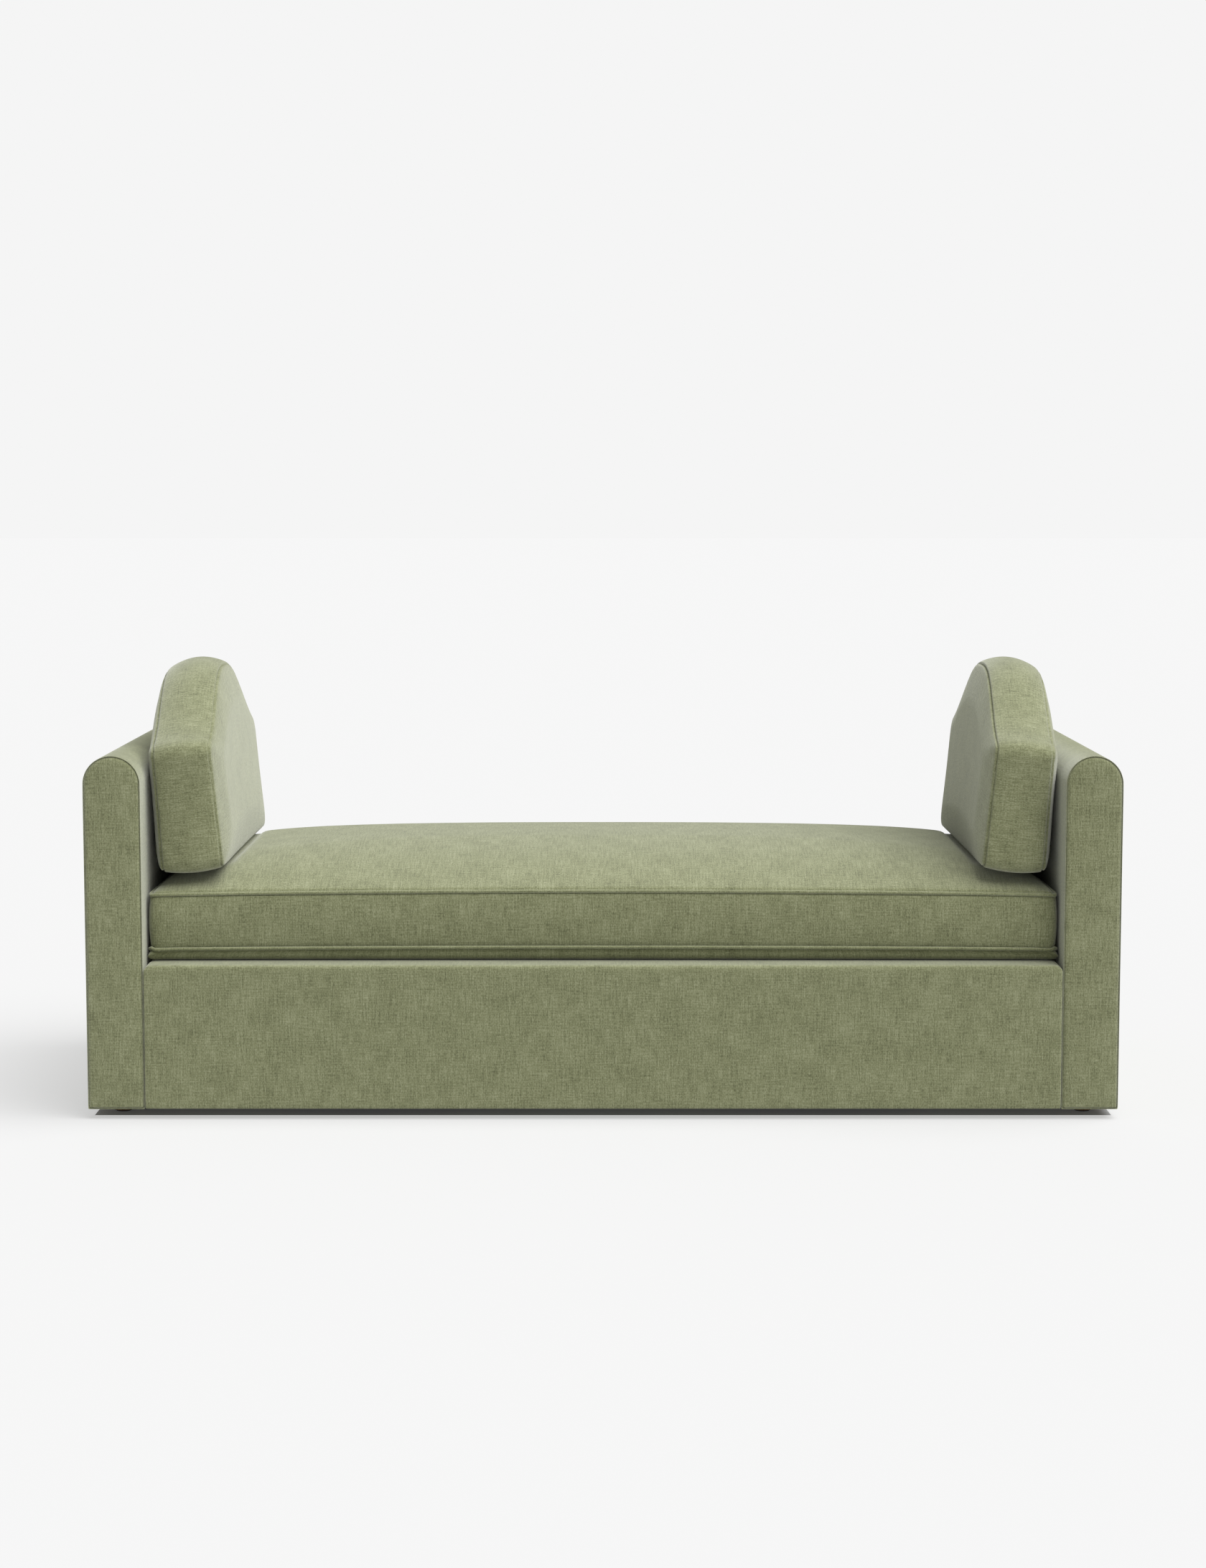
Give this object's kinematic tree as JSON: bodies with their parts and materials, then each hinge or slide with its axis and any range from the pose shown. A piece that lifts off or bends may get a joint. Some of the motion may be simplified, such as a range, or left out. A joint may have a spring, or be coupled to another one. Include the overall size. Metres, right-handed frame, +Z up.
{
  "type": "daybed",
  "caption": "Backless boxed daybed: two slab arms with half-round tops, a long box seat cushion, and arched bolsters standing on the seat against the arms.",
  "frame": {"origin": "on the floor, under the middle of the daybed", "axes": "+X to the right along the length, the front faces -Y, +Z up"},
  "size_m": [1.98, 0.82, 0.8675],
  "materials": {
    "upholstery": "soft chenille, low sheen",
    "decking": "plain woven decking cloth",
    "foam": "open-cell foam with fibre wrap",
    "burlap": "coarse woven",
    "cambric": "thin non-woven",
    "webbing": "elastic woven straps",
    "zip_tape": "woven tape with nylon coil",
    "zip_metal": "dull nickel",
    "foot_wood": "brown stain, satin lacquer",
    "frame_wood": "kiln-dried hardwood, sawn",
    "plywood": "sanded board",
    "glide": "matt nylon",
    "steel": "zinc plated"
  },
  "bodies": {
    "frame": {"arm_bolt_washers": "steel", "arm_bolts": "steel", "arm_insert_nuts": "steel", "back_left_foot": "foot_wood", "back_rail": "frame_wood", "back_rail_cover": "upholstery", "back_rail_padding": "foam", "back_right_foot": "foot_wood", "centre_foot": "foot_wood", "centre_stretcher": "frame_wood", "corner_blocks": "frame_wood", "cross_webbing": "webbing", "deck_cloth": "burlap", "deck_cover": "decking", "deck_pad": "foam", "dust_cover": "cambric", "foot_bolts": "steel", "foot_glides": "glide", "front_left_foot": "foot_wood", "front_rail": "frame_wood", "front_rail_cover": "upholstery", "front_rail_padding": "foam", "front_right_foot": "foot_wood", "left_arm_back_cover": "upholstery", "left_arm_cover": "upholstery", "left_arm_front_cover": "upholstery", "left_arm_inner_panel": "plywood", "left_arm_outer_panel": "plywood", "left_arm_padding": "foam", "left_arm_posts": "frame_wood", "left_arm_rails": "frame_wood", "left_arm_top_former": "frame_wood", "left_end_rail": "frame_wood", "long_webbing": "webbing", "right_arm_back_cover": "upholstery", "right_arm_cover": "upholstery", "right_arm_front_cover": "upholstery", "right_arm_inner_panel": "plywood", "right_arm_outer_panel": "plywood", "right_arm_padding": "foam", "right_arm_posts": "frame_wood", "right_arm_rails": "frame_wood", "right_arm_top_former": "frame_wood", "right_end_rail": "frame_wood"},
    "seat_cushion": {"seat_cushion_bottom_welt": "upholstery", "seat_cushion_core": "foam", "seat_cushion_cover": "upholstery", "seat_cushion_top_welt": "upholstery", "seat_zip_tape": "zip_tape"},
    "seat_zip_slider": {"seat_zip_slider": "zip_metal"},
    "seat_zip_pull": {"seat_zip_pull": "zip_metal"},
    "left_bolster": {"left_bolster_core": "foam", "left_bolster_cover": "upholstery", "left_bolster_zip_tape": "zip_tape"},
    "left_bolster_zip": {"left_bolster_zip_slider": "zip_metal"},
    "right_bolster": {"right_bolster_core": "foam", "right_bolster_cover": "upholstery", "right_bolster_zip_tape": "zip_tape"},
    "right_bolster_zip": {"right_bolster_zip_slider": "zip_metal"}
  },
  "joints": [
    {"name": "seat_cushion_lift", "type": "slide", "parent": "frame", "child": "seat_cushion", "axis": [0, 0, 1], "range_m": [0, 0.45]},
    {"name": "left_bolster_lift", "type": "slide", "parent": "seat_cushion", "child": "left_bolster", "axis": [0, 0, 1], "range_m": [0, 0.4]},
    {"name": "right_bolster_lift", "type": "slide", "parent": "seat_cushion", "child": "right_bolster", "axis": [0, 0, 1], "range_m": [0, 0.4]},
    {"name": "seat_zip_slide", "type": "slide", "parent": "seat_cushion", "child": "seat_zip_slider", "axis": [1, 0, 0], "range_m": [0, 1.17]},
    {"name": "seat_zip_pull_swing", "type": "hinge", "parent": "seat_zip_slider", "child": "seat_zip_pull", "pos_m": [-0.588, 0.3643, 0.3783], "axis": [1, 0, 0], "range_deg": [0, 175]},
    {"name": "left_bolster_zip_slide", "type": "slide", "parent": "left_bolster", "child": "left_bolster_zip", "axis": [0, -1, 0], "range_m": [0, 0.53]},
    {"name": "right_bolster_zip_slide", "type": "slide", "parent": "right_bolster", "child": "right_bolster_zip", "axis": [0, -1, 0], "range_m": [0, 0.53]}
  ]
}
